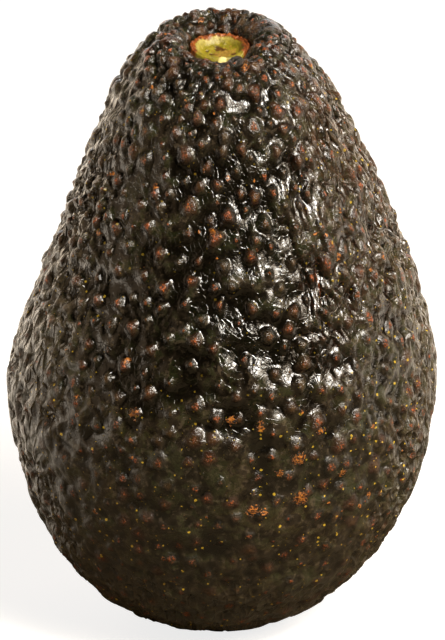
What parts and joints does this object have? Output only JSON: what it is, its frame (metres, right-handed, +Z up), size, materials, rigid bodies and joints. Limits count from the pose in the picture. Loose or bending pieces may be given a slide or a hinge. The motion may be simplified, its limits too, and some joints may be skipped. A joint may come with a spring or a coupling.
{
  "type": "avocado",
  "caption": "Whole pear-shaped avocado with dark pebbled skin, its stem scar bare, standing upright on the flat spot at its blossom end.",
  "frame": {"origin": "middle of the fruit's outline seen from above, at the height of the flat spot it stands on", "axes": "+Z up from the blossom end to the stem scar, front of the fruit towards -Y, +X to the right seen from the front"},
  "size_m": [0.0702, 0.0692, 0.1018],
  "materials": {
    "avocado_skin": "ripe dark olive to purple-black rind, pebbled and waxy, semi-gloss, with rust-brown corky bump tips and pale lenticels",
    "stem_scar": "dry yellow-green scar flesh with a torn orange-brown fibrous rim and brown corky specks, matt to satin"
  },
  "bodies": {
    "root": {"avocado": "avocado_skin"}
  },
  "joints": []
}
